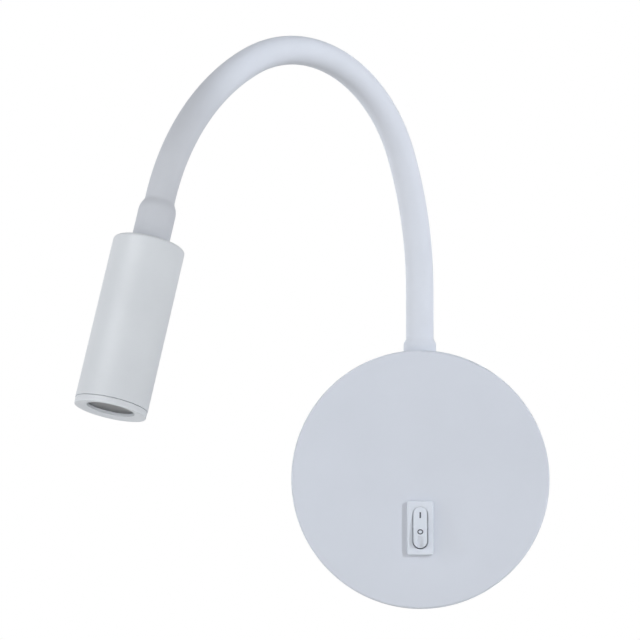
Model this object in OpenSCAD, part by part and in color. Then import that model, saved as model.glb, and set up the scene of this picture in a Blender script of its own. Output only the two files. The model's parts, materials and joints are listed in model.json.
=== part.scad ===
// Wall reading lamp: a round base with a slim rocker switch, a sleeved flexible neck and a spot head.
// Millimetres. The origin is the centre of the base's back, on the wall, with +Z up.
// The front of the base faces -Y, and the neck leans over to -X and out from the wall.

/* [Base] */
// Diameter of the round base cover
base_d = 100; // [94:1:130]
// Depth of the base from the wall to its front face
base_depth = 24; // [23:0.5:32]
// Wall of the base cover
cover_wall = 1.5; // [1:0.1:2]
// Rounding of the cover's front edge
cover_edge_r = 0.8; // [0.3:0.1:0.9]
// Thickness of the steel wall plate
plate_t = 1.5; // [1:0.1:2]

/* [Wall fixing] */
// Distance between the two wall screw slots
fixing_spacing = 62; // [60:1:68]
// Width of a wall screw slot
fixing_slot_w = 4.5; // [4:0.1:5.5]
// Length of a wall screw slot from end to end
fixing_slot_len = 9; // [6:0.5:11]
// Bore of the bush that the supply cable comes in through
cable_bore = 7; // [6:0.5:8]
// Diameter of the cover's headless side screws and the plate's screws
screw_d = 3; // [2.5:0.1:3.5]

/* [Switch] */
// Distance of the switch below the centre of the base
switch_drop = 18.8; // [18:0.2:24]
// Width of the switch bezel
bezel_w = 10.3; // [9.6:0.1:12]
// Height of the switch bezel
bezel_h = 20.9; // [20.4:0.1:23]
// How far the bezel stands out from the cover
bezel_t = 2; // [1.2:0.1:2.6]
// Width of the rocker
rocker_w = 5.4; // [4.8:0.1:5.8]
// Height of the rocker
rocker_h = 15.8; // [14.5:0.1:16.2]
// Travel of the rocker between on and off, in degrees
rocker_travel = 12; // [8:1:14]

/* [Neck] */
// Outside diameter of the neck's soft sleeve
neck_d = 10.8; // [10:0.1:12]
// Wall of the soft sleeve
sleeve_wall = 0.9; // [0.6:0.1:1.1]
// Wall of the steel hose inside the sleeve
hose_wall = 1.6; // [1.2:0.1:1.7]
// Direction of the lean: 0 is along the wall to -X, 90 is straight out
neck_lean = 46; // [20:1:160]
// Straight length of the neck above the base
root_len = 24.5; // [16:0.5:50]
// Radius of the gentle bend above the straight
lower_r = 137; // [80:1:200]
// Sweep of the gentle bend, in degrees
lower_sweep = 22.5; // [20:0.5:40]
// Radius of the bend over the crown
crown_r = 56.5; // [45:0.5:90]
// Sweep of the bend over the crown, in degrees
crown_sweep = 96; // [70:0.5:110]
// Radius of the bend down to the head
upper_r = 91; // [60:1:140]
// Sweep of the bend down to the head, in degrees
upper_sweep = 45; // [20:0.5:50]
// Straight length of the neck at the head
tip_len = 18; // [17:0.5:24]
// Diameter of the sleeve where it is stretched over the lower ferrule
root_collar_d = 12.8; // [12.4:0.1:15]
// Height of the stretched part above the base
root_collar_len = 4.7; // [4:0.1:8]
// Diameter of the sleeve where it is stretched over the upper ferrule
tip_collar_d = 13.6; // [12.6:0.1:15]
// Length of the stretched part at the head
tip_collar_len = 16; // [12:0.5:16]
// Diameter of the threaded ends of both ferrules
thread_d = 10; // [9.5:0.1:10.4]

/* [Head] */
// Diameter of the head
head_d = 26; // [25:0.5:32]
// Length of the head with its front ring
head_len = 62.4; // [58:0.2:80]
// Wall of the head tube
head_wall = 1.8; // [1.4:0.1:2]
// Thickness of the head's rear wall
head_rear_wall = 3; // [2:0.5:4]
// Rounding of the head's rear edge
head_edge_r = 1.2; // [0.5:0.1:1.6]
// Length of the front ring's outside
ring_len = 2.2; // [2:0.1:3]
// Opening in the front ring
aperture_d = 17.2; // [15:0.2:18]
// Depth of the lens behind the ring's face
lens_recess = 1.8; // [1.6:0.1:1.9]
// Length of the cooling slug behind the light source
slug_len = 20; // [12:1:24]

/* [Clearances] */
// Radial gap between a rod or tube and what it slides into
fit_gap = 0.1; // [0.05:0.01:0.12]
// Gap between neighbouring lengths of the neck
link_gap = 0.3; // [0.2:0.05:0.35]
// Gap all round the rocker
rocker_gap = 0.3; // [0.25:0.05:0.35]
// Width of the fine seam between the head tube and its front ring
seam_gap = 0.2; // [0.1:0.05:0.3]

/* [Hidden] */
$fn = 72;
eps = 0.01;
cut = 1;

// Lengths that the neck is divided into, from the base to the head
lower_links = 2;
crown_links = 4;
upper_links = 2;
links = lower_links + crown_links + upper_links;
neck_lengths = concat(["root"], [for (i = [1 : links]) str(i)], ["tip"]);

// Colours
coat = "#D3D8E2";
sleeve_grey = "#D6DBE4";
switch_white = "#DDE1EA";
zinc = "#B9BCC0";
brass = "#C9A24B";
aluminium = "#C9CCD1";
dark_plastic = "#3A3C40";
lead_white = "#E4E4E0";

// Base
base_r = base_d / 2;
cover_in_r = base_r - cover_wall;
plate_gap = 0.4;
plate_r = cover_in_r - plate_gap;
neck_out = base_depth / 2;

// Cover screws and the plate lugs that they enter
screw_r = screw_d / 2;
screw_hole_r = screw_r + fit_gap;
screw_head_r = screw_d * 0.87;
screw_head_t = screw_d * 0.5;
screw_slot_w = screw_d * 0.2;
screw_slot_floor = 0.6;
lug_w = 10;
lug_t = plate_t;
lug_reach = 13;
lug_out = sqrt(cover_in_r * cover_in_r - lug_w * lug_w / 4) - plate_gap / 2;
side_screw_out = 8.5;
screw_past_lug = 2;
side_screw_sink = 0.1;
side_screw_len = base_r - side_screw_sink - lug_out + lug_t + screw_past_lug;
key_r = screw_r * 0.58;
key_deep = screw_d * 0.6;

// Bush for the supply cable
bush_wall = 2;
bush_r = cable_bore / 2 + bush_wall;
bush_flange_w = 1.2;
bush_flange_r = bush_r + bush_flange_w;
bush_flange_t = 2;

// Sealed driver on the wall plate
driver_w = 42;
driver_h = 20;
driver_t = 13;
driver_lid_t = 1.4;
driver_corner_r = 2;
lid_groove_w = 2;
lid_groove_len = 10;
driver_bottom = 9;
driver_middle = driver_bottom + driver_h / 2;
ear_w = 7;
ear_h = 9;
ear_t = 2;
ear_x = driver_w / 2 + ear_w / 2;

// Terminal block on the wall plate
block_w = 18;
block_h = 12;
block_t = 12;
block_x = -22;
block_y = -19;
block_pitch = 11;
block_hole_r = 1.3;
block_hole_deep = 5;
block_foot_t = ear_t;
clamp_screw_r = 1.5;
clamp_screw_deep = 3;

// Leads inside the base: routes chosen by hand, across, up and out from the wall
mains_lead_r = 0.9;
mains_lead_sides = 8;
mains_lead_steps = 4;
wire_z = 7.5;
live_in = [[-27.5, -16, wire_z], [-27.5, -10, wire_z], [-24, -4, 8], [-17, 2, 8], [-14, 6, 8],
    [-14, 8.9, 8]];
live_switched = [[-16.5, -16, wire_z], [-16.5, -10, wire_z], [-12, -9, 7], [-6, -13, 6], [-2.6, -17, 6],
    [-2.6, -18.8, 7], [-2.6, -18.8, 9.6]];
switch_return = [[2.6, -22.8, 9.6], [2.6, -22.8, 7], [5, -20, 6], [10, -12, 6], [14, -3, 8], [14, 4, 8],
    [14, 8.9, 8]];

// Switch, measured from its centre on the front of the cover
bezel_corner_r = 1.1;
bezel_edge_r = 0.6;
body_step = 1;
body_gap = fit_gap;
body_w = bezel_w - 2 * body_step;
body_h = bezel_h - 2 * body_step;
well_w = rocker_w + 2 * rocker_gap;
well_h = rocker_h + 2 * rocker_gap;
pivot_z = 0;
pivot_r = 0.8;
rocker_tilt = rocker_travel / 2;
face_bow_r = 75;
face_proud = 1.1;
rocker_deep = 2.6;
scoop_r = 1.4;
scoop_lift = 1.05;
scoop_from = 3.8;
scoop_fall = 16;
boss_r = 1.8;
boss_len = 1.9;
plunger_r = 1;
plunger_bore_r = plunger_r + fit_gap;
plunger_bore_top = 0.9;
spring_wire_r = 0.15;
spring_r = plunger_r - spring_wire_r - fit_gap;
spring_turns = 2.5;
spring_pitch = 0.75;
spring_rings = 8;
spring_sides = 6;
plunger_top = plunger_bore_top + spring_turns * spring_pitch + 4 * spring_wire_r;
plunger_len = 3.2;
plunger_tip = plunger_top + plunger_len;
blade_ratio = 4 / 3;
blade_tilt = rocker_tilt * blade_ratio;
blade_w = 3;
blade_h = 10;
blade_t = 0.4;
blade_gap = 0.15;
terminal_t = 0.8;
knife_r = terminal_t / 2;
saddle_bore_r = knife_r + fit_gap;
saddle_r = saddle_bore_r + blade_t;
blade_z = pivot_z - plunger_tip - blade_gap - saddle_r;
contact_y = 4;
contact_r = 0.8;
contact_t = 0.3;
fixed_contact_z = blade_z - contact_y * sin(blade_tilt) - contact_t - blade_gap;
well_clear = 0.6;
well_floor = fixed_contact_z - well_clear;
body_floor_t = 2.4;
body_back = well_floor - body_floor_t;
tag_len = 4;
terminal_end = body_back - tag_len;
snap_h = 4;
snap_out = 0.7;

// Neck
neck_r = neck_d / 2;
hose_r = neck_r - sleeve_wall - fit_gap;
hose_bore_r = hose_r - hose_wall;
lead_gap = 0.3;
lead_r = hose_bore_r - lead_gap;
ball_over = 0.2;
ball_r = neck_r + ball_over;
socket_r = ball_r + link_gap;
dome_start = sqrt(ball_r * ball_r - neck_r * neck_r) / 2;
thread_r = thread_d / 2;
seat_gap = 0.03;
root_ferrule_r = root_collar_d / 2 - sleeve_wall - fit_gap;
root_shoulder = 2.1;
root_ferrule_len = root_collar_len - root_shoulder / 2;
root_thread_len = 11;
hose_stop_t = 0.4;
hose_seat_deep = root_ferrule_len - hose_stop_t;
tip_ferrule_r = tip_collar_d / 2 - sleeve_wall - fit_gap;
tip_shoulder = 4;
tip_ferrule_len = tip_collar_len - tip_shoulder / 2;
tip_hose_seat = 8;
tip_thread_len = 9;
washer_r = 8;
washer_t = 1.2;
nut_across = 14;
nut_t = 3.4;
washer_top = sqrt(cover_in_r * cover_in_r - washer_r * washer_r) - seat_gap;

// Head, measured along its axis from its rear face
head_r = head_d / 2;
head_bore_r = head_r - head_wall;
tube_front = head_len - ring_len - seam_gap;
ring_back = head_len - ring_len;
lens_front = head_len - lens_recess;
spigot_wall = 0.7;
spigot_len = 5;
spigot_r = head_bore_r - fit_gap;
lens_flange_r = spigot_r - spigot_wall - fit_gap;
lens_flange_t = 1.6;
lens_len = 9.8;
lens_foot_r = 3.6;
lens_curve = 1.5;
lens_ledge_w = 0.6;
lens_steps = 8;
lens_back = lens_front - lens_len;
lens_shell_top = lens_front - lens_flange_t;
pocket_r = 2.2;
pocket_deep = 3.4;
emitter_w = 3.4;
emitter_t = 0.9;
dome_r = 1.3;
lens_foot_gap = 1.4;
board_front = lens_back - lens_foot_gap;
board_t = 1.6;
board_gap = 0.3;
board_r = lens_flange_r - board_gap;
board_notch_r = 1.4;
board_screw_r = 1;
board_screw_head_r = 1.8;
board_screw_head_t = 1.2;
board_screw_x = 6.8;
board_screw_deep = 5;
slug_front = board_front - board_t;
slug_back = slug_front - slug_len;
holder_r = lens_flange_r;
holder_foot_wall = 0.9;
holder_foot_r = holder_r - holder_foot_wall;
holder_floor_rise = 1.6;
holder_floor = lens_back + holder_floor_rise;
lens_gap = 0.25;
lens_spread = lens_flange_r - lens_gap - lens_ledge_w - lens_foot_r;
ring_lip_t = 1.1;
ring_edge_r = 1;
ring_face_w = 0.5;

// Small shapes that repeat

// Turns a shape drawn across, up and out so that it stands on the wall and faces the room
module on_wall() rotate([90, 0, 0]) children();

module rounded_rect(w, h, r) {
    square([w - 2 * r, h], center = true);
    square([w, h - 2 * r], center = true);
    for (x = [-1, 1], y = [-1, 1]) translate([x * (w / 2 - r), y * (h / 2 - r)]) circle(r);
}

module obround(w, h) {
    square([w, h - w], center = true);
    for (y = [-1, 1]) translate([0, y * (h - w) / 2]) circle(w / 2);
}

// A bar seen from one side: square at its foot and rounded at its front corners
module rounded_front(w, h, r) {
    translate([-w / 2, 0]) square([w, h - r]);
    translate([-w / 2 + r, 0]) square([w - 2 * r, h]);
    for (x = [-1, 1]) translate([x * (w / 2 - r), h - r]) circle(r);
}

// A slotted pan-head screw, head up, with its shank down from the origin
module pan_screw(r, length, head_r, head_t) {
    translate([0, 0, -length]) cylinder(r = r, h = length + eps);
    difference() {
        rotate_extrude() {
            square([head_r, head_t / 2]);
            square([head_r - head_t / 2, head_t]);
            translate([head_r - head_t / 2, head_t / 2]) circle(head_t / 2);
        }
        translate([-head_r, -screw_slot_w / 2, head_t * screw_slot_floor])
            cube([2 * head_r, screw_slot_w, head_t]);
        translate([-head_r * 2, -head_r * 2, -head_t]) cube([head_r * 4, head_r * 4, head_t]);
    }
}

module hex_nut(across, bore_r, t) {
    difference() {
        cylinder(r = across / 2 / cos(30), h = t, $fn = 6);
        translate([0, 0, -cut]) cylinder(r = bore_r, h = t + 2 * cut);
    }
}

module washer(r, bore_r, t) {
    difference() {
        cylinder(r = r, h = t);
        translate([0, 0, -cut]) cylinder(r = bore_r, h = t + 2 * cut);
    }
}

// Round tubes swept along a route

function unit(v) = v / norm(v);

function route_point(a, b, c, d, t) =
    (2 * b + (c - a) * t + (2 * a - 5 * b + 4 * c - d) * t * t + (3 * b - a - 3 * c + d) * t * t * t) / 2;

// A smooth route through points chosen by hand
function smooth_route(p, steps) = let (last = len(p) - 1) concat(
    [for (i = [0 : last - 1]) for (k = [0 : steps - 1])
        route_point(p[max(i - 1, 0)], p[i], p[i + 1], p[min(i + 2, last)], k / steps)],
    [p[last]]
);

function route_way(p, i) = unit(p[min(i + 1, len(p) - 1)] - p[max(i - 1, 0)]);

function route_ring(p, i, r, sides, side_way) =
    let (t = route_way(p, i), n = unit(cross(t, side_way)), b = cross(t, n))
    [for (k = [0 : sides - 1]) p[i] + r * (cos(360 * k / sides) * n + sin(360 * k / sides) * b)];

module swept_tube(p, r, sides, side_way) {
    last = len(p) - 1;
    function at(i, k) = i * sides + k % sides;
    walls = [for (i = [0 : last - 1]) for (k = [0 : sides - 1]) each [
        [at(i, k), at(i + 1, k), at(i, k + 1)],
        [at(i, k + 1), at(i + 1, k), at(i + 1, k + 1)]
    ]];
    ends = [for (k = [1 : sides - 2]) each [
        [at(0, 0), at(0, k), at(0, k + 1)],
        [at(last, 0), at(last, k + 1), at(last, k)]
    ]];
    polyhedron([for (i = [0 : last]) each route_ring(p, i, r, sides, side_way)], concat(walls, ends));
}

// The course of the neck, in the upright plane that it leans in

function link_bend_r(i) = i < lower_links ? lower_r : i < lower_links + crown_links ? crown_r : upper_r;

function link_sweep(i) =
    i < lower_links ? lower_sweep / lower_links :
    i < lower_links + crown_links ? crown_sweep / crown_links : upper_sweep / upper_links;

function heading(i) = i == 0 ? 0 : heading(i - 1) + link_sweep(i - 1);

// Place of a joint: how far out along the lean, and how high
function joint_at(i) = i == 0 ? [0, base_r + root_len] :
    let (a = heading(i - 1), r = link_bend_r(i - 1), s = link_sweep(i - 1))
    joint_at(i - 1) + r * sin(s) * [sin(a), cos(a)] + r * (1 - cos(s)) * [cos(a), -sin(a)];

// Stands a shape on a joint of the neck, with its Z along the neck and its X to the inside of the bend
module at_joint(i) {
    translate([0, -neck_out, 0])
        rotate([0, 0, 180 + neck_lean])
            translate([joint_at(i)[0], 0, joint_at(i)[1]])
                rotate([0, heading(i), 0])
                    children();
}

module at_root() translate([0, -neck_out, base_r]) children();

module at_head() at_joint(links) translate([0, 0, tip_len]) children();

module bent(radius, sweep) {
    translate([radius, 0, 0])
        rotate([-90, 0, 0])
            rotate([0, 0, 180])
                rotate_extrude(angle = sweep)
                    translate([radius, 0])
                        children();
}

module ring_section(r_out, r_in) {
    difference() {
        circle(r_out);
        if (r_in > 0) circle(r_in);
    }
}

// Half outline of a tube's domed end, which turns in the hollow of the next length
module dome_outline(r_out, r_in) {
    intersection() {
        translate([r_in, -cut]) square([r_out - r_in, ball_r + cut]);
        circle(ball_r);
    }
}

// What is cut away to leave a domed end
module around_dome() {
    difference() {
        translate([-neck_d, -neck_d, dome_start]) cube([2 * neck_d, 2 * neck_d, 2 * neck_d]);
        sphere(ball_r);
    }
}

// One bent length of a tube or rod: hollow at its start and domed at its end
module neck_length(i, r_out, r_in) {
    past_end = 2 * asin(neck_r / link_bend_r(i));
    difference() {
        at_joint(i) bent(link_bend_r(i), link_sweep(i) + past_end) ring_section(r_out, r_in);
        at_joint(i) sphere(socket_r);
        at_joint(i + 1) around_dome();
    }
}

// The outside of the cover, as a shape to cut collars to its curve
module cover_outside() {
    on_wall() translate([0, 0, -base_depth]) cylinder(r = base_r + seat_gap, h = 3 * base_depth);
}

// Half outline of the sleeve's stretched end: a straight collar with a rounded shoulder
module collar_outline(collar_r, length, shoulder) {
    drop = collar_r - neck_r;
    round_r = (drop * drop + shoulder * shoulder) / (2 * drop);
    square([collar_r, length - shoulder]);
    intersection() {
        translate([collar_r - round_r, length - shoulder]) circle(round_r);
        square([collar_r, length]);
    }
}

// Base

module base_cover() {
    color(coat) difference() {
        on_wall() rotate_extrude($fn = 180) difference() {
            union() {
                square([base_r, base_depth - cover_edge_r]);
                square([base_r - cover_edge_r, base_depth]);
                translate([base_r - cover_edge_r, base_depth - cover_edge_r]) circle(cover_edge_r);
            }
            translate([-cut, -cut]) square([cover_in_r + cut, base_depth - cover_wall + cut]);
        }
        at_switch() translate([0, 0, -2 * cover_wall]) linear_extrude(4 * cover_wall)
            square([body_w + 2 * body_gap, body_h + 2 * body_gap], center = true);
        at_root() translate([0, 0, -2 * cover_wall]) cylinder(r = thread_r + fit_gap, h = 4 * cover_wall);
        for (side = [-1, 1]) translate([side * base_r, -side_screw_out, 0]) rotate([0, 90, 0])
            cylinder(r = screw_hole_r, h = 4 * cover_wall, center = true);
    }
}

module wall_plate() {
    color(zinc) difference() {
        on_wall() union() {
            cylinder(r = plate_r, h = plate_t, $fn = 180);
            for (side = [-1, 1]) translate([side * (lug_out - lug_t / 2), 0, lug_reach / 2])
                cube([lug_t, lug_w, lug_reach], center = true);
        }
        on_wall() translate([0, 0, -cut]) linear_extrude(plate_t + 2 * cut) {
            for (side = [-1, 1]) translate([side * fixing_spacing / 2, 0]) rotate(90)
                obround(fixing_slot_w, fixing_slot_len);
            circle(bush_r + fit_gap);
            for (p = plate_screw_places()) translate(p) circle(screw_hole_r);
        }
        for (side = [-1, 1]) translate([side * lug_out, -side_screw_out, 0]) rotate([0, 90, 0])
            cylinder(r = screw_hole_r, h = 4 * lug_t, center = true);
    }
}

// Headless screws with a hexagon socket, flush with the cover
module cover_screws() {
    color(zinc) for (side = [0, 1]) mirror([side, 0, 0])
        translate([base_r - side_screw_sink, -side_screw_out, 0]) rotate([0, 90, 0]) difference() {
            translate([0, 0, -side_screw_len]) cylinder(r = screw_r, h = side_screw_len);
            translate([0, 0, -key_deep]) cylinder(r = key_r, h = key_deep + cut, $fn = 6);
        }
}

module cable_bush() {
    color(dark_plastic) on_wall() difference() {
        union() {
            cylinder(r = bush_r, h = plate_t + eps);
            translate([0, 0, plate_t]) cylinder(r = bush_flange_r, h = bush_flange_t);
        }
        translate([0, 0, -cut]) cylinder(d = cable_bore, h = plate_t + bush_flange_t + 2 * cut);
    }
}

module driver_case() {
    color(lead_white) on_wall() translate([0, driver_middle, plate_t]) difference() {
        union() {
            linear_extrude(driver_t) rounded_rect(driver_w, driver_h, driver_corner_r);
            for (side = [-1, 1]) translate([side * (ear_x - ear_w / 2), 0, 0])
                linear_extrude(ear_t) rounded_rect(2 * ear_w, ear_h, driver_corner_r);
        }
        for (side = [-1, 1]) translate([side * ear_x, 0, -cut])
            cylinder(r = screw_hole_r, h = ear_t + 2 * cut);
    }
}

module driver_lid() {
    color(coat) on_wall() translate([0, driver_middle, plate_t + driver_t]) difference() {
        linear_extrude(driver_lid_t) rounded_rect(driver_w, driver_h, driver_corner_r);
        for (side = [-1, 1]) translate([side * driver_w / 4, 0, driver_lid_t / 2])
            linear_extrude(driver_lid_t) obround(lid_groove_w, lid_groove_len);
    }
}

// Across and up: the driver's two ears and the terminal block's middle
function plate_screw_places() = [[-ear_x, driver_middle], [ear_x, driver_middle], [block_x, block_y]];

module plate_screws() {
    color(zinc) on_wall() for (p = plate_screw_places()) translate([p[0], p[1], plate_t + ear_t])
        pan_screw(screw_r, plate_t + ear_t - fit_gap, screw_head_r, screw_head_t);
}

module terminal_block() {
    color(lead_white) on_wall() translate([block_x, block_y, plate_t]) difference() {
        linear_extrude(block_t) rounded_rect(block_w, block_h, driver_corner_r / 2);
        translate([0, 0, block_foot_t]) cylinder(r = screw_head_r + fit_gap, h = block_t);
        translate([0, 0, -cut]) cylinder(r = screw_hole_r, h = block_t);
        for (side = [-1, 1]) translate([side * block_pitch / 2, 0, 0]) {
            translate([0, 0, block_t - clamp_screw_deep - cut])
                cylinder(r = clamp_screw_r + fit_gap, h = block_t);
            for (end = [-1, 1]) translate([0, end * block_h / 2, wire_z - plate_t]) rotate([90, 0, 0])
                cylinder(r = block_hole_r, h = 2 * block_hole_deep, center = true);
        }
    }
}

module terminal_screws() {
    color(brass) on_wall() for (side = [-1, 1])
        translate([block_x + side * block_pitch / 2, block_y, plate_t + block_t - clamp_screw_deep - cut])
            difference() {
                cylinder(r = clamp_screw_r, h = clamp_screw_deep);
                translate([-clamp_screw_r, -screw_slot_w / 2, clamp_screw_deep - screw_slot_w])
                    cube([2 * clamp_screw_r, screw_slot_w, clamp_screw_deep]);
            }
}

module mains_leads() {
    color(lead_white) on_wall() for (route = [live_in, live_switched, switch_return])
        swept_tube(smooth_route(route, mains_lead_steps), mains_lead_r, mains_lead_sides, [1, 0.3, 0.2]);
}

// Switch

module at_switch() on_wall() translate([0, -switch_drop, base_depth]) children();

// Stands a shape on the rocker's pivot, turned as the rocker rests: lamp on, upper end pressed in
module at_pivot() at_switch() translate([0, 0, pivot_z]) rotate([-rocker_tilt, 0, 0]) children();

module snap_wing() {
    rotate([90, 0, 90]) linear_extrude(body_w / 2, center = true)
        polygon([[0, 0], [snap_out, 0], [0, -snap_h]]);
}

module switch_housing() {
    color(switch_white) at_switch() difference() {
        union() {
            intersection() {
                linear_extrude(bezel_t) rounded_rect(bezel_w, bezel_h, bezel_corner_r);
                rotate([90, 0, 0]) linear_extrude(2 * bezel_h, center = true)
                    rounded_front(bezel_w, bezel_t, bezel_edge_r);
                rotate([90, 0, 90]) linear_extrude(2 * bezel_w, center = true)
                    rounded_front(bezel_h, bezel_t, bezel_edge_r);
            }
            translate([-body_w / 2, -body_h / 2, body_back]) cube([body_w, body_h, -body_back + eps]);
            for (end = [0, 1]) mirror([0, end, 0])
                translate([0, body_h / 2 - eps, -cover_wall - fit_gap]) snap_wing();
        }
        translate([0, 0, pivot_z - rocker_deep]) linear_extrude(bezel_t - pivot_z + rocker_deep + cut)
            obround(well_w, well_h);
        translate([-well_w / 2, -well_h / 2, well_floor]) cube([well_w, well_h, pivot_z - well_floor]);
        translate([0, 0, pivot_z]) rotate([0, 90, 0])
            cylinder(r = pivot_r + fit_gap, h = body_w, center = true);
        for (y = [0, -contact_y]) translate([0, y, body_back])
            cube([blade_w + 2 * fit_gap, terminal_t + 2 * fit_gap, 3 * body_floor_t], center = true);
    }
}

module switch_terminals() {
    color(brass) at_switch() {
        rotate([90, 0, 90]) linear_extrude(blade_w, center = true) {
            translate([-terminal_t / 2, terminal_end]) square([terminal_t, blade_z - terminal_end]);
            translate([0, blade_z]) circle(knife_r);
        }
        translate([-blade_w / 2, -contact_y - terminal_t / 2, terminal_end])
            cube([blade_w, terminal_t, fixed_contact_z - contact_t - terminal_end]);
        translate([0, -contact_y, fixed_contact_z - contact_t - eps])
            cylinder(r = contact_r, h = contact_t + eps);
    }
}

// A see-saw blade: its saddle rocks on the rounded top of the middle terminal
module contact_blade() {
    color(brass) at_switch() translate([0, 0, blade_z]) rotate([blade_tilt, 0, 0]) {
        rotate([90, 0, 90]) linear_extrude(blade_w, center = true) difference() {
            union() {
                translate([-blade_h / 2, 0]) square([blade_h, blade_t]);
                circle(saddle_r);
            }
            circle(saddle_bore_r);
            translate([-2 * saddle_r, -2 * saddle_r]) square([4 * saddle_r, 2 * saddle_r]);
        }
        translate([0, -contact_y, -contact_t]) cylinder(r = contact_r, h = contact_t + eps);
    }
}

module rocker() {
    face = bezel_t + face_proud - pivot_z;
    color(switch_white) at_pivot() difference() {
        union() {
            intersection() {
                translate([0, 0, -rocker_deep]) linear_extrude(2 * rocker_deep + face)
                    obround(rocker_w, rocker_h);
                translate([0, 0, face - face_bow_r]) rotate([0, 90, 0])
                    cylinder(r = face_bow_r, h = 2 * rocker_w, center = true, $fn = 240);
            }
            translate([0, 0, -rocker_deep - boss_len]) cylinder(r = boss_r, h = boss_len + eps);
            rotate([0, 90, 0]) cylinder(r = pivot_r, h = body_w - 2 * fit_gap, center = true);
        }
        translate([0, 0, -rocker_deep - boss_len - cut])
            cylinder(r = plunger_bore_r, h = rocker_deep + boss_len + cut - plunger_bore_top);
        translate([0, -scoop_from, face + scoop_lift]) rotate([90 + scoop_fall, 0, 0])
            cylinder(r = scoop_r, h = rocker_h);
    }
}

module plunger() {
    color(brass) at_pivot() rotate([180, 0, 0]) rotate_extrude() {
        translate([0, plunger_top]) square([plunger_r, plunger_len - plunger_r]);
        intersection() {
            translate([0, plunger_tip - plunger_r]) circle(plunger_r);
            translate([0, plunger_top]) square([plunger_r, plunger_len]);
        }
    }
}

function spring_point(a) = [spring_r * cos(a), spring_r * sin(a), spring_pitch * a / 360];

module plunger_spring() {
    turn = 360 / spring_rings;
    helix = [for (k = [0 : spring_turns * spring_rings]) spring_point(k * turn)];
    color(zinc) at_pivot() rotate([180, 0, 0]) translate([0, 0, plunger_bore_top + 2 * spring_wire_r])
        swept_tube(helix, spring_wire_r, spring_sides, [0, 0, 1]);
}

// Neck

module neck_washer() {
    color(zinc) translate([0, -neck_out, washer_top - washer_t])
        washer(washer_r, thread_r + fit_gap, washer_t);
}

module neck_nut() {
    color(brass) translate([0, -neck_out, washer_top - washer_t - nut_t])
        hex_nut(nut_across, thread_r + fit_gap, nut_t);
}

module lower_ferrule() {
    color(zinc) difference() {
        union() {
            at_root() translate([0, 0, -root_thread_len]) cylinder(r = thread_r, h = root_thread_len + cut);
            difference() {
                at_root() translate([0, 0, -cut]) cylinder(r = root_ferrule_r, h = root_ferrule_len + cut);
                cover_outside();
            }
        }
        at_root() translate([0, 0, -2 * root_thread_len]) cylinder(r = hose_bore_r, h = 4 * root_thread_len);
        at_root() translate([0, 0, root_ferrule_len - hose_seat_deep])
            cylinder(r = hose_r + fit_gap / 2, h = root_ferrule_len);
    }
}

module sleeve_root() {
    color(sleeve_grey) difference() {
        at_root() rotate_extrude() difference() {
            union() {
                translate([0, -cut]) square([root_collar_d / 2, cut + eps]);
                square([neck_r, root_len]);
                collar_outline(root_collar_d / 2, root_collar_len, root_shoulder);
                translate([0, root_len]) dome_outline(neck_r, 0);
            }
            translate([-cut, -2 * cut]) square([hose_r + fit_gap + cut, root_len + neck_d]);
            translate([-cut, -2 * cut])
                square([root_ferrule_r + fit_gap + cut, root_ferrule_len + fit_gap + 2 * cut]);
        }
        cover_outside();
    }
}

module hose_root() {
    color(zinc) at_root() rotate_extrude() {
        translate([hose_bore_r, root_ferrule_len - hose_seat_deep])
            square([hose_wall, root_len - root_ferrule_len + hose_seat_deep]);
        translate([0, root_len]) dome_outline(hose_r, hose_bore_r);
    }
}

module lead_root() {
    start = driver_bottom + driver_h;
    color(lead_white) translate([0, -neck_out, 0]) rotate_extrude() {
        translate([0, start]) square([lead_r, base_r + root_len - start]);
        translate([0, base_r + root_len]) dome_outline(lead_r, 0);
    }
}

module sleeve_link(i) color(sleeve_grey) neck_length(i, neck_r, hose_r + fit_gap);

module hose_link(i) color(zinc) neck_length(i, hose_r, hose_bore_r);

module lead_link(i) color(lead_white) neck_length(i, lead_r, 0);

module sleeve_tip() {
    color(sleeve_grey) difference() {
        at_head() rotate([180, 0, 0]) rotate_extrude() difference() {
            union() {
                square([neck_r, tip_len]);
                collar_outline(tip_collar_d / 2, tip_collar_len, tip_shoulder);
            }
            translate([-cut, -cut]) square([hose_r + fit_gap + cut, tip_len + 2 * cut]);
            translate([-cut, -cut]) square([tip_ferrule_r + fit_gap + cut, tip_ferrule_len + fit_gap + cut]);
        }
        at_joint(links) sphere(socket_r);
    }
}

module hose_tip() {
    color(zinc) difference() {
        at_head() rotate([180, 0, 0]) rotate_extrude()
            translate([hose_bore_r, tip_ferrule_len - tip_hose_seat])
                square([hose_wall, tip_len - tip_ferrule_len + tip_hose_seat]);
        at_joint(links) sphere(socket_r);
    }
}

module lead_tip() {
    color(lead_white) difference() {
        at_joint(links) cylinder(r = lead_r, h = tip_len + slug_front - fit_gap);
        at_joint(links) sphere(socket_r);
    }
}

// Head

module upper_ferrule() {
    color(zinc) at_head() difference() {
        union() {
            translate([0, 0, -tip_ferrule_len]) cylinder(r = tip_ferrule_r, h = tip_ferrule_len - seat_gap);
            translate([0, 0, -cut]) cylinder(r = thread_r, h = head_rear_wall + tip_thread_len + cut);
        }
        translate([0, 0, -2 * tip_ferrule_len]) cylinder(r = hose_bore_r, h = 4 * tip_ferrule_len);
        translate([0, 0, -2 * tip_ferrule_len])
            cylinder(r = hose_r + fit_gap / 2, h = tip_ferrule_len + tip_hose_seat);
    }
}

module head_tube() {
    color(coat) at_head() rotate_extrude($fn = 120) difference() {
        union() {
            square([head_r - head_edge_r, tube_front]);
            translate([0, head_edge_r]) square([head_r, tube_front - head_edge_r]);
            translate([head_r - head_edge_r, head_edge_r]) circle(head_edge_r);
        }
        translate([-cut, head_rear_wall]) square([head_bore_r + cut, tube_front]);
        translate([-cut, -cut]) square([thread_r + fit_gap + cut, head_rear_wall + 2 * cut]);
    }
}

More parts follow.
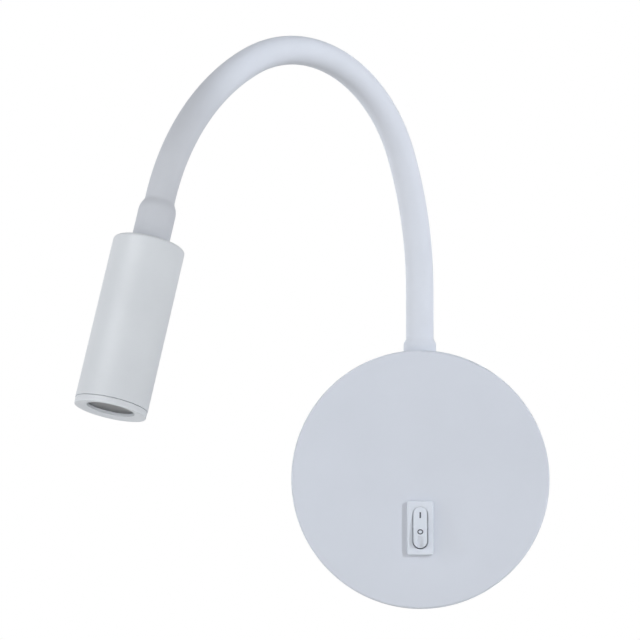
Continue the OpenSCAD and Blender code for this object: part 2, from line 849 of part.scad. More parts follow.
module head_washer() {
    color(zinc) at_head() translate([0, 0, head_rear_wall]) washer(washer_r, thread_r + fit_gap, washer_t);
}

module head_nut() {
    color(brass) at_head() translate([0, 0, head_rear_wall + washer_t])
        hex_nut(nut_across, thread_r + fit_gap, nut_t);
}

// The two places of the board screws
module at_board_screws() for (side = [-1, 1]) translate([side * board_screw_x, 0, 0]) children();

module heat_slug() {
    color(aluminium) at_head() difference() {
        translate([0, 0, slug_back]) cylinder(r = head_bore_r - fit_gap / 2, h = slug_len);
        translate([0, 0, slug_back - cut]) cylinder(r = hose_bore_r, h = slug_len + 2 * cut);
        at_board_screws() translate([0, 0, slug_front - board_screw_deep - cut])
            cylinder(r = board_screw_r + fit_gap / 2, h = board_screw_deep + 2 * cut);
    }
}

module led_board() {
    color("white") at_head() translate([0, 0, slug_front]) difference() {
        cylinder(r = board_r, h = board_t);
        at_board_screws() translate([0, 0, -cut])
            cylinder(r = board_screw_r + fit_gap, h = board_t + 2 * cut);
        for (a = [30 : 60 : 330]) rotate(a) translate([board_r, 0, -cut])
            cylinder(r = board_notch_r, h = board_t + 2 * cut);
    }
}

module led_emitter() {
    color("khaki") at_head() translate([0, 0, board_front]) {
        translate([-emitter_w / 2, -emitter_w / 2, 0]) cube([emitter_w, emitter_w, emitter_t]);
        translate([0, 0, emitter_t - eps]) rotate_extrude() intersection() {
            circle(dome_r);
            square(dome_r);
        }
    }
}

module board_screws() {
    color(zinc) at_head() at_board_screws() translate([0, 0, board_front])
        pan_screw(board_screw_r, board_t + board_screw_deep, board_screw_head_r, board_screw_head_t);
}

// Half-width of the lens at a share of its height: a bowl that opens towards the front
function lens_bowl(t, grow) = lens_foot_r + grow + lens_spread * pow(t, 1 / lens_curve);

module bowl_outline(grow) {
    rise = lens_shell_top - lens_back;
    polygon(concat(
        [[0, lens_back]],
        [for (k = [0 : lens_steps]) [lens_bowl(k / lens_steps, grow), lens_back + rise * k / lens_steps]],
        [[0, lens_shell_top]]
    ));
}

module lens() {
    color("aliceblue", 0.6) at_head() rotate_extrude() difference() {
        union() {
            bowl_outline(0);
            translate([0, lens_shell_top]) square([lens_flange_r, lens_flange_t]);
        }
        translate([-cut, lens_back - cut]) square([pocket_r + cut, pocket_deep + cut]);
    }
}

module lens_holder() {
    color(dark_plastic) at_head() rotate_extrude() difference() {
        translate([0, board_front]) square([holder_r, lens_shell_top - board_front]);
        bowl_outline(lens_gap);
        translate([-cut, board_front - cut]) square([holder_foot_r + cut, holder_floor - board_front + cut]);
        translate([-cut, lens_shell_top - cut]) square([lens_bowl(1, lens_gap) + cut, 2 * cut]);
    }
}

module front_ring() {
    color(coat) at_head() rotate_extrude($fn = 120) difference() {
        union() {
            translate([0, ring_back]) square([head_r, ring_len - ring_edge_r]);
            translate([0, ring_back]) square([head_r - ring_edge_r, ring_len]);
            translate([head_r - ring_edge_r, head_len - ring_edge_r]) circle(ring_edge_r);
            translate([0, ring_back - spigot_len]) square([spigot_r, spigot_len + cut]);
        }
        translate([-cut, ring_back - spigot_len - cut])
            square([lens_flange_r + fit_gap + cut, lens_front + fit_gap / 2 - ring_back + spigot_len + cut]);
        translate([-cut, lens_front - cut]) square([aperture_d / 2 + cut, lens_recess + 2 * cut]);
        polygon([
            [0, head_len + eps],
            [head_r - ring_edge_r - ring_face_w, head_len + eps],
            [aperture_d / 2, lens_front + ring_lip_t],
            [0, lens_front + ring_lip_t]
        ]);
    }
}

base_cover();
wall_plate();
cover_screws();
cable_bush();
driver_case();
driver_lid();
plate_screws();
terminal_block();
terminal_screws();
mains_leads();
switch_housing();
switch_terminals();
contact_blade();
rocker();
plunger();
plunger_spring();
neck_washer();
neck_nut();
lower_ferrule();
sleeve_root();
hose_root();
lead_root();
for (i = [1 : links]) {
    sleeve_link(i - 1);
    hose_link(i - 1);
    lead_link(i - 1);
}
sleeve_tip();
hose_tip();
lead_tip();
head_tube();
upper_ferrule();
head_washer();
head_nut();
heat_slug();
led_board();
led_emitter();
board_screws();
lens_holder();
lens();
front_ring();
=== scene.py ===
import json
import math

import bmesh
import bpy
import numpy as np
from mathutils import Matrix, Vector

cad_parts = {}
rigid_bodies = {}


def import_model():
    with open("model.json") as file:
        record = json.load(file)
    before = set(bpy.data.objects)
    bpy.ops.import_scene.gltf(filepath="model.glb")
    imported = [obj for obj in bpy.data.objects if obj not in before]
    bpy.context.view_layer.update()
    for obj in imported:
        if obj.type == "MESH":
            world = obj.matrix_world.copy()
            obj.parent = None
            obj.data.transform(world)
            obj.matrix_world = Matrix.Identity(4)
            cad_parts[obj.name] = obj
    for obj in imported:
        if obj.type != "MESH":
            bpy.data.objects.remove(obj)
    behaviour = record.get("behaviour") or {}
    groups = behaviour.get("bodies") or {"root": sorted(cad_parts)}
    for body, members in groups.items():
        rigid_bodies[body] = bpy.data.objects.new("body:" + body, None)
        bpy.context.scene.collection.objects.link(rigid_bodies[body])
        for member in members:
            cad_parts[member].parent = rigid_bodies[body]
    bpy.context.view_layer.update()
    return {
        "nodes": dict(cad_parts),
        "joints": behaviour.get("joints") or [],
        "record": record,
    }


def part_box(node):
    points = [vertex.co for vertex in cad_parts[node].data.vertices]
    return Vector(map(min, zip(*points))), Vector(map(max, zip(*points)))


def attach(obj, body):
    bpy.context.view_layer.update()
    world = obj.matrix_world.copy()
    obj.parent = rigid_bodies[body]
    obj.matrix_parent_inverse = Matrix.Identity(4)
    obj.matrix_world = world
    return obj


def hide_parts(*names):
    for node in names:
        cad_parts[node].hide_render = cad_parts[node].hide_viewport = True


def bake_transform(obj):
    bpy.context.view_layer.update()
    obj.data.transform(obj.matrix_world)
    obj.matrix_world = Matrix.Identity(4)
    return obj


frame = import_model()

# Wall reading lamp: a round base with a slim rocker switch, a sleeved flexible neck and a spot head.
# Metres, in the frame of the solids: +Z up, the wall behind at y = 0, the front of the base facing -Y.

MM = 0.001

# The photograph's view: from straight before the base, turned a little up and to the left
CAMERA_AT = (0.0, -1.024, 0.0)
CAMERA_RISE = math.radians(3.535)
CAMERA_TURN = math.radians(2.222)
LENS_MM = 144.97

# Patterns: the noise values between which tone and roughness drift, and the detail of that noise
NOISE_SPAN = (0.3, 0.7)
DRIFT_DETAIL = 3.0
# The winding of the inner hose
HOSE_PITCH = 1.4 * MM
HOSE_GROOVE = 0.2 * MM

# The bodies along the neck, from the base to the head
NECK_LINKS = 8
BODIES = ["base"] + [f"neck_{i + 1}" for i in range(NECK_LINKS)] + ["head"]

# The neck's sleeve, stretched into a collar at each end
SLEEVE_R = 5.4 * MM
ROOT_COLLAR = dict(radius=6.4 * MM, length=4.7 * MM, shoulder=2.1 * MM)
TIP_COLLAR = dict(radius=6.8 * MM, length=16.0 * MM, shoulder=4.0 * MM)
SLEEVE_SIDES = 64
# Distance between the points of its centre line
SLEEVE_STEP = 0.8 * MM
# Each length ends inside the next, this much thinner
TUCK = 0.03 * MM
# The lower end is tucked this far into the cover, because the cover's side is curved
ROOT_TUCK = 0.6 * MM

# The head's front ring, turned a hair slimmer than the tube: half-widths, and depths behind its front
RING_R = 12.86 * MM
RING_LEN = 2.2 * MM
RING_EDGE = 0.3 * MM
RING_RIM = 0.9 * MM
OPENING_R = 8.6 * MM
DISH_DEEP = 0.7 * MM
LENS_DEEP = 1.75 * MM
SPIGOT_R = (10.4 * MM, 11.1 * MM)
SPIGOT_END = 7.2 * MM
RING_SIDES = 160
EDGE_STEPS = 5
# Edges of the ring that turn more than this stay sharp
RING_SHARP = math.radians(25)

# Moulded edges of the switch, and the turn from which an edge is softened
SWITCH_SLOT = "switch_plastic"
BEZEL_EDGE = 0.25 * MM
ROCKER_EDGE = 0.22 * MM
SOFT_SEGMENTS = 3
SOFT_FROM = math.radians(40)
# Before that, points this close become one, and faces that turn less than this become one
MERGE_WITHIN = 0.002 * MM
FLAT_WITHIN = math.radians(1)

# The rocker's face: its height over the pivot, its bow, and its tilt with the upper end pressed in
ROCKER_FACE = 3.1 * MM
ROCKER_BOW_R = 75.0 * MM
ROCKER_TILT = math.radians(-6)
# Its printed marks: width and height, and place up along the face
MARK_LIFT = 0.02 * MM
BAR_SIZE = (0.62 * MM, 2.3 * MM)
BAR_UP = 4.7 * MM
CIRCLE_SIZE = (2.3 * MM, 2.05 * MM)
CIRCLE_STROKE = 0.46 * MM
CIRCLE_UP = -1.77 * MM
CIRCLE_SIDES = 40

# Stage
FLOOR_Z = -0.45
FLOOR_R = 0.6
FLOOR_SIDES = 96
# How much paler the floor is shown than the soft light from above makes it
FLOOR_LIFT = 0.55

# Light: the studio's level from below, around and above, and how much brighter its left side is
FROM_BELOW = 0.55
SURROUND = 0.82
FROM_ABOVE = 0.2
LEFT_SIDE = 1.42
# Where the level changes: upward from below, upward to above, and across from the left side
BELOW_SPAN = (-0.9, -0.2)
ABOVE_SPAN = (0.1, 0.8)
LEFT_SPAN = (-1.0, 0.2)
# Soft boxes: where each aims, the way to it, its distance, size, power, spread and colour.
# All but the last have grids. The light of the first two stops short of the head, the third is for
# the head alone, and the last shows in gloss only.
STREAK_BOX = "streak_box"
SOFT_BOXES = {
    "key_box": dict(
        aim=(0.096, 0.086, 0.06), way=(1.15, -1.0, 0.55), far=0.6,
        size=0.5, power=0.335, spread=5, colour="#F0F6FF"),
    "left_box": dict(
        aim=(0.0, 0.103, 0.06), way=(-1.0, -0.25, 0.2), far=0.5,
        size=0.3, power=0.05, spread=5, colour="#F0F6FF"),
    "head_box": dict(
        aim=(-0.135, -0.122, 0.045), way=(0.5, -1.0, -0.1), far=0.6,
        size=0.16, power=0.0095, spread=4, colour="#FFFFFF"),
    STREAK_BOX: dict(
        aim=(-0.1, -0.11, 0.06), way=(-0.45, -0.62, 0.575), far=2.0,
        size=1.2, power=12.5, spread=180, colour="#FFFFFF"),
}


# Small tools

def linear(hex_colour):
    """An sRGB hex colour as linear RGBA."""
    values = [int(hex_colour[i:i + 2], 16) / 255 for i in (1, 3, 5)]
    return tuple(v / 12.92 if v <= 0.04045 else ((v + 0.055) / 1.055) ** 2.4 for v in values) + (1.0,)


def add_node(tree, kind, inputs=None, **settings):
    """Adds a node, sets its properties, and sets or links its inputs."""
    node = tree.nodes.new(kind)
    for name, value in settings.items():
        setattr(node, name, value)
    for key, value in (inputs or {}).items():
        if isinstance(value, bpy.types.NodeSocket):
            tree.links.new(value, node.inputs[key])
        else:
            node.inputs[key].default_value = value
    return node


def joint_between(parent, child):
    """The joint that carries one body on another."""
    return next(j for j in frame["joints"] if j["parent"] == parent and j["child"] == child)


def reach_along(node, start, way):
    """The nearest and the farthest that a solid reaches along a way from start."""
    points = np.array([v.co for v in frame["nodes"][node].data.vertices])
    along = (points - np.array(start)) @ np.array(way)
    return float(along.min()), float(along.max())


def new_piece(name, mesh, slot, material=None):
    """A piece of the visual model, in its slot's finish or in a material of its own."""
    piece = bpy.data.objects.new(name, mesh)
    bpy.context.scene.collection.objects.link(piece)
    mesh.materials.clear()
    mesh.materials.append(material or FINISHES[slot])
    return piece


def mesh_of(form, name):
    """A closed form as a mesh, with its faces turned outward."""
    bmesh.ops.recalc_face_normals(form, faces=form.faces)
    mesh = bpy.data.meshes.new(name)
    form.to_mesh(mesh)
    form.free()
    return mesh


# Materials

def start_material(name, roughness, metallic=0.0, **sockets):
    """A material with its shader, and the coordinates that its patterns follow."""
    material = bpy.data.materials.new(name)
    material.use_nodes = True
    tree = material.node_tree
    shader = tree.nodes["Principled BSDF"]
    shader.inputs["Roughness"].default_value = roughness
    shader.inputs["Metallic"].default_value = metallic
    for key, value in sockets.items():
        shader.inputs[key.replace("_", " ")].default_value = value
    place = add_node(tree, "ShaderNodeTexCoord").outputs["Object"]
    return material, tree, shader, place


def mottle(tree, shader, place, light, dark, patch_mm, rough=None):
    """Slow drifts of tone, and of roughness where a range is given, in patches of that size."""
    drift = add_node(tree, "ShaderNodeTexNoise", {
        "Vector": place, "Scale": 1 / (patch_mm * MM), "Detail": DRIFT_DETAIL})
    tone = add_node(tree, "ShaderNodeValToRGB", {"Fac": drift.outputs["Fac"]})
    for stop, position, colour in zip(tone.color_ramp.elements, NOISE_SPAN, (light, dark)):
        stop.position = position
        stop.color = linear(colour)
    tree.links.new(tone.outputs["Color"], shader.inputs["Base Color"])
    if rough:
        spread = add_node(tree, "ShaderNodeMapRange", {
            "Value": drift.outputs["Fac"], "From Min": NOISE_SPAN[0], "From Max": NOISE_SPAN[1],
            "To Min": rough[0], "To Max": rough[1]})
        tree.links.new(spread.outputs["Result"], shader.inputs["Roughness"])


def relief(tree, shader, place, grain_mm, depth_mm, detail=2.0):
    """Fine unevenness of the skin, in grains of that size and depth."""
    grain = add_node(tree, "ShaderNodeTexNoise", {
        "Vector": place, "Scale": 1 / (grain_mm * MM), "Detail": detail})
    bump = add_node(tree, "ShaderNodeBump", {
        "Height": grain.outputs["Fac"], "Distance": depth_mm * MM, "Strength": 1.0})
    tree.links.new(bump.outputs["Normal"], shader.inputs["Normal"])


def powder_coated_steel():
    """Sprayed and baked powder on a pressed cover: cool white, matt, with the faintest orange peel."""
    material, tree, shader, place = start_material("powder_coated_steel", 0.55, Specular_IOR_Level=0.35)
    mottle(tree, shader, place, "#D3D7DF", "#D0D4DC", patch_mm=30, rough=(0.5, 0.6))
    relief(tree, shader, place, grain_mm=1.1, depth_mm=0.004)
    return material


def powder_coated_aluminium():
    """The same powder as the cover on a turned tube, a little smoother, so that it takes a soft streak of
    light. Its tone is painted light: paler than the cover's, to make up for the key light that stops short
    of the head.
    """
    material, tree, shader, place = start_material("powder_coated_aluminium", 0.5, Specular_IOR_Level=1.0)
    # Painted light: these tones are paler than the cover's same powder, standing in for the light that the
    # head misses.
    mottle(tree, shader, place, "#E4E9EF", "#E0E5EB", patch_mm=22, rough=(0.47, 0.53))
    relief(tree, shader, place, grain_mm=1.0, depth_mm=0.004)
    return material


def silicone_sleeve():
    """Extruded silicone rubber: milky, dead matt, with a soft bloom where it turns away."""
    material, tree, shader, place = start_material(
        "silicone_sleeve", 0.7, Specular_IOR_Level=0.3, Sheen_Weight=0.05, Sheen_Roughness=0.5)
    mottle(tree, shader, place, "#DCE0E8", "#D8DCE4", patch_mm=18, rough=(0.64, 0.76))
    relief(tree, shader, place, grain_mm=0.8, depth_mm=0.005)
    return material


def moulded_nylon():
    """Moulded white nylon of the switch: low gloss, with its fine grain drawn coarse enough to show."""
    material, tree, shader, place = start_material("moulded_nylon", 0.4, Specular_IOR_Level=0.5)
    mottle(tree, shader, place, "#D9DEE6", "#D5DAE2", patch_mm=6, rough=(0.36, 0.46))
    relief(tree, shader, place, grain_mm=0.35, depth_mm=0.003)
    return material


def pad_print():
    """Dark grey ink printed on the rocker: flat and slightly broken at this size."""
    material, tree, shader, place = start_material("pad_print", 0.6)
    mottle(tree, shader, place, "#585B66", "#4C4F5A", patch_mm=0.4)
    return material


def zinc_plated_steel():
    """Bright zinc on rolled steel: bluish grey, with cloudy roughness and a fine uneven skin."""
    material, tree, shader, place = start_material("zinc_plated_steel", 0.38, metallic=1.0)
    mottle(tree, shader, place, "#BFC3C8", "#AEB3B9", patch_mm=5, rough=(0.3, 0.48))
    relief(tree, shader, place, grain_mm=0.6, depth_mm=0.004, detail=4.0)
    return material


def wound_steel():
    """Spring steel of the inner hose: darker, with the fine turns of its winding."""
    material, tree, shader, place = start_material("wound_steel", 0.42, metallic=1.0)
    mottle(tree, shader, place, "#A6A9AD", "#8E9196", patch_mm=3, rough=(0.36, 0.5))
    turns = add_node(tree, "ShaderNodeTexWave", {
        "Vector": place, "Scale": 1 / (HOSE_PITCH * 2 * math.pi), "Distortion": 0.0}, bands_direction="Z")
    bump = add_node(tree, "ShaderNodeBump", {"Height": turns.outputs["Fac"], "Distance": HOSE_GROOVE})
    tree.links.new(bump.outputs["Normal"], shader.inputs["Normal"])
    return material


def turned_brass():
    """Free-cutting brass: warm yellow metal with a lightly tarnished, tooled skin."""
    material, tree, shader, place = start_material("turned_brass", 0.32, metallic=1.0)
    mottle(tree, shader, place, "#D2B266", "#B8954C", patch_mm=2.5, rough=(0.26, 0.42))
    relief(tree, shader, place, grain_mm=0.3, depth_mm=0.003)
    return material


def turned_aluminium():
    """Bare turned aluminium of the cooling slug: pale metal with a finely tooled skin."""
    material, tree, shader, place = start_material("turned_aluminium", 0.34, metallic=1.0)
    mottle(tree, shader, place, "#D2D4D7", "#C2C5C9", patch_mm=4, rough=(0.3, 0.4))
    relief(tree, shader, place, grain_mm=0.25, depth_mm=0.004)
    return material


def moulded_case(name, light, dark, roughness):
    """Plain moulded plastic, rubber or lacquer of the inner pieces, with a fine grained skin."""
    material, tree, shader, place = start_material(name, roughness)
    mottle(tree, shader, place, light, dark, patch_mm=7, rough=(roughness - 0.06, roughness + 0.06))
    relief(tree, shader, place, grain_mm=0.4, depth_mm=0.006)
    return material


def phosphor():
    """Yellow phosphor dome of the light source: waxy and smooth."""
    material, tree, shader, place = start_material("phosphor", 0.3)
    mottle(tree, shader, place, "#E8CF72", "#DDBE55", patch_mm=0.8, rough=(0.25, 0.35))
    return material


def clear_acrylic():
    """Acrylic of the lens: clear, with a finely pebbled front that blurs what lies behind it."""
    material, tree, shader, place = start_material(
        "clear_acrylic", 0.35, IOR=1.49, Transmission_Weight=0.9, Specular_IOR_Level=0.1)
    shader.inputs["Base Color"].default_value = linear("#C0C4C8")
    relief(tree, shader, place, grain_mm=0.7, depth_mm=0.02)
    return material


FINISHES = {
    "cover_coat": powder_coated_steel(),
    "head_coat": powder_coated_aluminium(),
    "sleeve_silicone": silicone_sleeve(),
    SWITCH_SLOT: moulded_nylon(),
    "zinc_steel": zinc_plated_steel(),
    "hose_steel": wound_steel(),
    "brass_fitting": turned_brass(),
    "bare_aluminium": turned_aluminium(),
    "driver_plastic": moulded_case("flame_proof_nylon", "#E6E6E2", "#DEDEDA", 0.5),
    "block_plastic": moulded_case("terminal_nylon", "#EDEDE6", "#E4E4DC", 0.45),
    "lead_insulation": moulded_case("lead_vinyl", "#E8E8E5", "#DCDCD8", 0.4),
    "bush_rubber": moulded_case("bush_rubber", "#2E2F32", "#232427", 0.7),
    "board_lacquer": moulded_case("white_solder_lacquer", "#F0F1EE", "#E6E8E4", 0.35),
    "led_phosphor": phosphor(),
    "holder_plastic": moulded_case("grey_polycarbonate", "#6A6C70", "#606266", 0.4),
    "lens_clear": clear_acrylic(),
}
MARK_INK = pad_print()


def dress_solids():
    """Every solid takes the finish of its material slot."""
    for part in frame["record"]["subparts"]:
        mesh = frame["nodes"][part["node"]].data
        mesh.materials.clear()
        mesh.materials.append(FINISHES[part["material_slot"]])


# Neck

def arc_points(start, way, end, steps):
    """Points on the arc from start, leaving along way, to end, and the direction at its end."""
    chord = end - start
    half = way.angle(chord)
    radius = chord.length / (2 * math.sin(half))
    side = (chord - way * chord.dot(way)).normalized()
    turns = [2 * half * k / steps for k in range(steps + 1)]
    points = [start + way * (radius * math.sin(a)) + side * (radius * (1 - math.cos(a))) for a in turns]
    return points, way * math.cos(2 * half) + side * math.sin(2 * half)


def straight_points(start, end):
    """Evenly spaced points from start to end."""
    steps = max(1, round((end - start).length / SLEEVE_STEP))
    return [start.lerp(end, k / steps) for k in range(steps + 1)]


def neck_course():
    """The sleeve's centre line, split at the middle of each length, with its joints and its two ends."""
    joints = [Vector(joint_between(a, b)["pos_m"]) for a, b in zip(BODIES, BODIES[1:])]
    base_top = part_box("base_cover")[1].z
    line = straight_points(Vector((joints[0].x, joints[0].y, base_top - ROOT_TUCK)), joints[0])
    lengths = []
    way = Vector((0, 0, 1))
    for start, end in zip(joints, joints[1:]):
        steps = 2 * round((end - start).length / SLEEVE_STEP / 2)
        points, way = arc_points(start, way, end, steps)
        lengths.append(line + points[1:steps // 2 + 2])
        line = points[steps // 2:]
    head_rear = joints[-1] + way * reach_along("head_tube", joints[-1], way)[0]
    lengths.append(line + straight_points(joints[-1], head_rear)[1:])
    return dict(lengths=lengths, joints=joints, base_top=base_top, head_rear=head_rear, head_way=way)


def collar_radius(distance, collar):
    """Half-width of the sleeve at a distance from the end that is stretched over a ferrule."""
    straight = collar["length"] - collar["shoulder"]
    if distance <= straight:
        return collar["radius"]
    if distance >= collar["length"]:
        return SLEEVE_R
    share = (distance - straight) / collar["shoulder"]
    return SLEEVE_R + (collar["radius"] - SLEEVE_R) * (1 - share * share)


def sleeve_tree():
    """Sweeps a round section along a line of points, as wide as each point says."""
    tree = bpy.data.node_groups.new("sleeve_tube", "GeometryNodeTree")
    ports = tree.interface
    ports.new_socket("Line", in_out="INPUT", socket_type="NodeSocketGeometry")
    ports.new_socket("Sides", in_out="INPUT", socket_type="NodeSocketInt")
    ports.new_socket("Finish", in_out="INPUT", socket_type="NodeSocketMaterial")
    ports.new_socket("Tube", in_out="OUTPUT", socket_type="NodeSocketGeometry")
    entry = add_node(tree, "NodeGroupInput")
    width = add_node(tree, "GeometryNodeInputNamedAttribute", {"Name": "half_width"}, data_type="FLOAT")
    line = add_node(tree, "GeometryNodeMeshToCurve", {"Mesh": entry.outputs["Line"]})
    section = add_node(tree, "GeometryNodeCurvePrimitiveCircle", {
        "Resolution": entry.outputs["Sides"], "Radius": 1.0})
    tube = add_node(tree, "GeometryNodeCurveToMesh", {
        "Curve": line.outputs["Curve"], "Profile Curve": section.outputs["Curve"],
        "Scale": width.outputs["Attribute"], "Fill Caps": True})
    real = add_node(tree, "GeometryNodeRealizeInstances", {"Geometry": tube.outputs["Mesh"]})
    dressed = add_node(tree, "GeometryNodeSetMaterial", {
        "Geometry": real.outputs["Geometry"], "Material": entry.outputs["Finish"]})
    add_node(tree, "NodeGroupOutput", {"Tube": dressed.outputs["Geometry"]})
    return tree


def smooth_walls(mesh):
    """Rounds the shading of the four-sided wall faces and keeps the two end caps flat."""
    for face in mesh.polygons:
        face.use_smooth = len(face.vertices) <= 4


def sweep_sleeve(tree, name, points, widths):
    """One length of the sleeve as a plain mesh."""
    line = bpy.data.meshes.new(name + "_line")
    line.from_pydata([tuple(p) for p in points], [(k, k + 1) for k in range(len(points) - 1)], [])
    line.attributes.new("half_width", "FLOAT", "POINT").data.foreach_set("value", widths)
    maker = bpy.data.objects.new(name + "_maker", line)
    bpy.context.scene.collection.objects.link(maker)
    sweep = maker.modifiers.new("sleeve", "NODES")
    sweep.node_group = tree
    ids = {item.name: item.identifier for item in tree.interface.items_tree if item.in_out == "INPUT"}
    sweep[ids["Sides"]] = SLEEVE_SIDES
    sweep[ids["Finish"]] = FINISHES["sleeve_silicone"]
    ready = maker.evaluated_get(bpy.context.evaluated_depsgraph_get())
    mesh = bpy.data.meshes.new_from_object(ready)
    bpy.data.objects.remove(maker)
    smooth_walls(mesh)
    return mesh


def make_sleeve(neck):
    """The sleeve, in lengths that each run across one joint, from the middle of one link to the middle of
    the next.
    """
    tree = sleeve_tree()
    joints, base_top, way = neck["joints"], neck["base_top"], neck["head_way"]
    for k, points in enumerate(neck["lengths"]):
        widths = [SLEEVE_R] * len(points)
        replaced = [f"sleeve_{k}"]
        if k == 0:
            widths = [collar_radius(p.z - base_top, ROOT_COLLAR) for p in points]
            replaced = ["sleeve_root"]
        if k == NECK_LINKS:
            widths = [collar_radius((neck["head_rear"] - p).dot(way), TIP_COLLAR) for p in points]
            replaced.append("sleeve_tip")
        if k < NECK_LINKS:
            widths[-1] = SLEEVE_R - TUCK
        name = f"neck_sleeve_{k + 1}"
        piece = new_piece(name, sweep_sleeve(tree, name, points, widths), "sleeve_silicone")
        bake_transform(piece)
        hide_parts(*replaced)


# Head

def ring_profile():
    """Half-width and depth of the front ring's turns, from its rear edge round the front and inside."""
    turns = [math.pi / 2 * k / EDGE_STEPS for k in range(EDGE_STEPS + 1)]
    edge = [(RING_R - RING_EDGE * (1 - math.cos(a)), RING_EDGE * (1 - math.sin(a))) for a in turns]
    rim_end = RING_R - RING_EDGE - RING_RIM
    spigot_in, spigot_out = SPIGOT_R
    return [
        (RING_R, RING_LEN), *edge, (rim_end, 0.0),
        (OPENING_R, DISH_DEEP), (OPENING_R, LENS_DEEP),
        (spigot_in, LENS_DEEP), (spigot_in, SPIGOT_END),
        (spigot_out, SPIGOT_END), (spigot_out, RING_LEN)]


def make_front_ring(neck):
    """The ring that holds the lens, with the sharp edge and the shallow dish of a turned part."""
    way = neck["head_way"]
    front = neck["head_rear"] + way * reach_along("front_ring", neck["head_rear"], way)[1]
    across = way.orthogonal().normalized()
    beside = way.cross(across)
    angles = [2 * math.pi * k / RING_SIDES for k in range(RING_SIDES)]
    spokes = [across * math.cos(a) + beside * math.sin(a) for a in angles]
    form = bmesh.new()
    turns = []
    for half_width, depth in ring_profile():
        centre = front - way * depth
        turns.append([form.verts.new(centre + spoke * half_width) for spoke in spokes])
    for turn, following in zip(turns, turns[1:] + turns[:1]):
        for k in range(RING_SIDES):
            n = (k + 1) % RING_SIDES
            form.faces.new((turn[k], turn[n], following[n], following[k]))
    mesh = mesh_of(form, "head_ring")
    mesh.shade_smooth()
    mesh.set_sharp_from_angle(angle=RING_SHARP)
    piece = new_piece("head_ring", mesh, "head_coat")
    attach(piece, "head")
    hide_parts("front_ring")


# Switch

def moulded_copy(node, name, edge):
    """A copy of a solid of the switch with its sharp edges softened, as they come out of a mould."""
    mesh = frame["nodes"][node].data.copy()
    mesh.name = name
    form = bmesh.new()
    form.from_mesh(mesh)
    bmesh.ops.remove_doubles(form, verts=form.verts, dist=MERGE_WITHIN)
    bmesh.ops.dissolve_limit(form, angle_limit=FLAT_WITHIN, verts=form.verts, edges=form.edges)
    form.to_mesh(mesh)
    form.free()
    piece = new_piece(name, mesh, SWITCH_SLOT)
    bevel = piece.modifiers.new("soft_edges", "BEVEL")
    bevel.width = edge
    bevel.segments = SOFT_SEGMENTS
    bevel.limit_method = "ANGLE"
    bevel.angle_limit = SOFT_FROM
    ready = piece.evaluated_get(bpy.context.evaluated_depsgraph_get())
    rounded = bpy.data.meshes.new_from_object(ready)
    piece.modifiers.clear()
    piece.data = rounded
    rounded.shade_smooth()
    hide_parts(node)
    return piece


def on_rocker(x, y, lift):
    """A point on the rocker's bowed face: across, up along the face, and out from it."""
    pivot = Vector(joint_between("base", "rocker")["pos_m"])
    out = ROCKER_FACE - ROCKER_BOW_R + math.sqrt(ROCKER_BOW_R ** 2 - y ** 2) + lift
    c, s = math.cos(ROCKER_TILT), math.sin(ROCKER_TILT)
    return pivot + Vector((x, -(out * c + y * s), y * c - out * s))


def make_mark(name, outline, hole=None):
    """A thin printed mark on the rocker, from its outline and, for a ring, its inner edge."""
    form = bmesh.new()
    loops = [outline] + ([hole] if hole else [])
    tops = [[form.verts.new(on_rocker(x, y, MARK_LIFT)) for x, y in loop] for loop in loops]
    feet = [[form.verts.new(on_rocker(x, y, -MARK_LIFT)) for x, y in loop] for loop in loops]
    count = len(outline)
    for k in range(count):
        n = (k + 1) % count
        for top, foot in zip(tops, feet):
            form.faces.new((top[k], top[n], foot[n], foot[k]))
        if hole:
            form.faces.new((tops[0][k], tops[0][n], tops[1][n], tops[1][k]))
            form.faces.new((feet[0][k], feet[0][n], feet[1][n], feet[1][k]))
    if not hole:
        form.faces.new(tops[0])
        form.faces.new(feet[0])
    piece = new_piece(name, mesh_of(form, name), SWITCH_SLOT, MARK_INK)
    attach(piece, "rocker")


def oval(width, height, up):
    """Points round an oval, at a place up along the rocker's face."""
    turns = [2 * math.pi * k / CIRCLE_SIDES for k in range(CIRCLE_SIDES)]
    return [(width / 2 * math.cos(a), up + height / 2 * math.sin(a)) for a in turns]


def make_switch():
    """The bezel, the rocker and the rocker's two marks: a bar for on and a ring for off."""
    bezel = moulded_copy("switch_housing", "switch_bezel", BEZEL_EDGE)
    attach(bezel, "base")
    rocker = moulded_copy("rocker", "switch_rocker", ROCKER_EDGE)
    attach(rocker, "rocker")
    half_w, half_h = BAR_SIZE[0] / 2, BAR_SIZE[1] / 2
    corners = [(-1, -1), (1, -1), (1, 1), (-1, 1)]
    make_mark("mark_on", [(x * half_w, BAR_UP + y * half_h) for x, y in corners])
    inner = [size - 2 * CIRCLE_STROKE for size in CIRCLE_SIZE]
    make_mark("mark_off", oval(*CIRCLE_SIZE, CIRCLE_UP), oval(*inner, CIRCLE_UP))


# Stage, light and camera

def seen_directly(tree):
    """1 for what the camera sees, also in gloss and through the lens, and 0 for the light on the object."""
    path = add_node(tree, "ShaderNodeLightPath").outputs
    seen = add_node(tree, "ShaderNodeMath", {
        0: path["Is Camera Ray"], 1: path["Is Glossy Ray"]}, operation="MAXIMUM")
    shown = add_node(tree, "ShaderNodeMath", {
        0: seen.outputs[0], 1: path["Is Transmission Ray"]}, operation="MAXIMUM")
    return shown.outputs[0]


def make_floor():
    """A pale round floor, well below the lamp."""
    mesh = bpy.data.meshes.new("floor")
    form = bmesh.new()
    bmesh.ops.create_circle(form, cap_ends=True, segments=FLOOR_SIDES, radius=FLOOR_R)
    form.to_mesh(mesh)
    form.free()
    floor = bpy.data.objects.new("floor", mesh)
    floor.location.z = FLOOR_Z
    bpy.context.scene.collection.objects.link(floor)
    material, tree, shader, place = start_material("pale_floor", 0.8)
    mottle(tree, shader, place, "#F1F1F0", "#EDEDEC", patch_mm=400)
    lift = add_node(tree, "ShaderNodeMath", {0: seen_directly(tree), 1: FLOOR_LIFT}, operation="MULTIPLY")
    tree.links.new(lift.outputs[0], shader.inputs["Emission Strength"])
    mesh.materials.append(material)


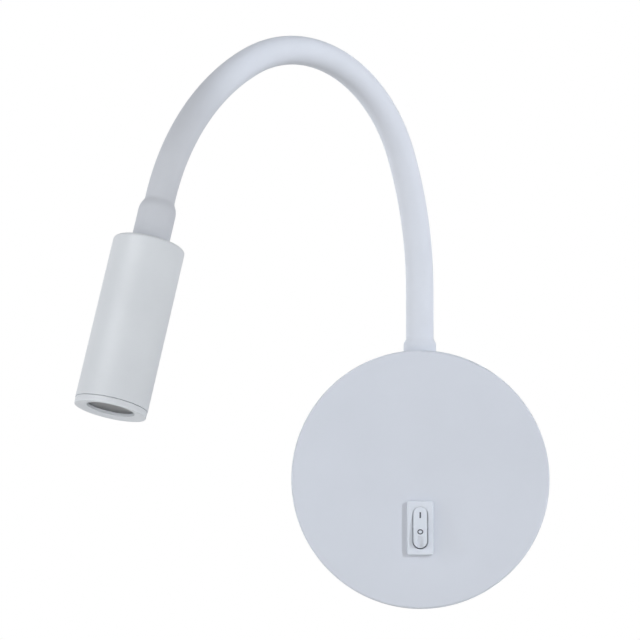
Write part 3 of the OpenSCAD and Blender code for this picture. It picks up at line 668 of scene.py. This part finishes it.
def light_world():
    """White behind the object and in its gloss, and a softer light on it."""
    world = bpy.data.worlds.new("studio")
    bpy.context.scene.world = world
    world.use_nodes = True
    tree = world.node_tree
    way = add_node(tree, "ShaderNodeTexCoord")
    parts = add_node(tree, "ShaderNodeSeparateXYZ", {"Vector": way.outputs["Generated"]})
    rise = add_node(tree, "ShaderNodeMapRange", {
        "Value": parts.outputs["Z"], "From Min": BELOW_SPAN[0], "From Max": BELOW_SPAN[1],
        "To Min": FROM_BELOW, "To Max": SURROUND})
    roof = add_node(tree, "ShaderNodeMapRange", {
        "Value": parts.outputs["Z"], "From Min": ABOVE_SPAN[0], "From Max": ABOVE_SPAN[1],
        "To Min": 1.0, "To Max": FROM_ABOVE / SURROUND})
    side = add_node(tree, "ShaderNodeMapRange", {
        "Value": parts.outputs["X"], "From Min": LEFT_SPAN[0], "From Max": LEFT_SPAN[1],
        "To Min": LEFT_SIDE, "To Max": 1.0})
    tall = add_node(tree, "ShaderNodeMath", {
        0: rise.outputs["Result"], 1: roof.outputs["Result"]}, operation="MULTIPLY")
    on_object = add_node(tree, "ShaderNodeMath", {
        0: tall.outputs[0], 1: side.outputs["Result"]}, operation="MULTIPLY")
    level = add_node(tree, "ShaderNodeMapRange", {
        "Value": seen_directly(tree), "To Min": on_object.outputs[0], "To Max": 1.0})
    backdrop = tree.nodes["Background"]
    backdrop.inputs["Color"].default_value = linear("#FFFFFF")
    tree.links.new(level.outputs["Result"], backdrop.inputs["Strength"])


def hang_lights():
    """The soft boxes, none of which the camera sees."""
    for name, box in SOFT_BOXES.items():
        lamp = bpy.data.lights.new(name, "AREA")
        lamp.energy = box["power"]
        lamp.color = linear(box["colour"])[:3]
        lamp.size = box["size"]
        lamp.spread = math.radians(box["spread"])
        holder = bpy.data.objects.new(name, lamp)
        way = Vector(box["way"]).normalized()
        holder.location = Vector(box["aim"]) + way * box["far"]
        holder.visible_glossy = name == STREAK_BOX
        holder.visible_diffuse = name != STREAK_BOX
        holder.visible_camera = False
        holder.rotation_euler = way.to_track_quat("Z", "Y").to_euler()
        bpy.context.scene.collection.objects.link(holder)


def place_camera():
    """The camera, where the photograph was taken from."""
    lens = bpy.data.cameras.new("camera")
    lens.lens = LENS_MM
    camera = bpy.data.objects.new("camera", lens)
    camera.location = CAMERA_AT
    camera.rotation_euler = (math.pi / 2 + CAMERA_RISE, 0, CAMERA_TURN)
    bpy.context.scene.collection.objects.link(camera)
    bpy.context.scene.camera = camera


place_camera()
bpy.context.scene.view_settings.view_transform = "Standard"
make_floor()
light_world()
hang_lights()
dress_solids()
neck = neck_course()
make_sleeve(neck)
make_front_ring(neck)
make_switch()
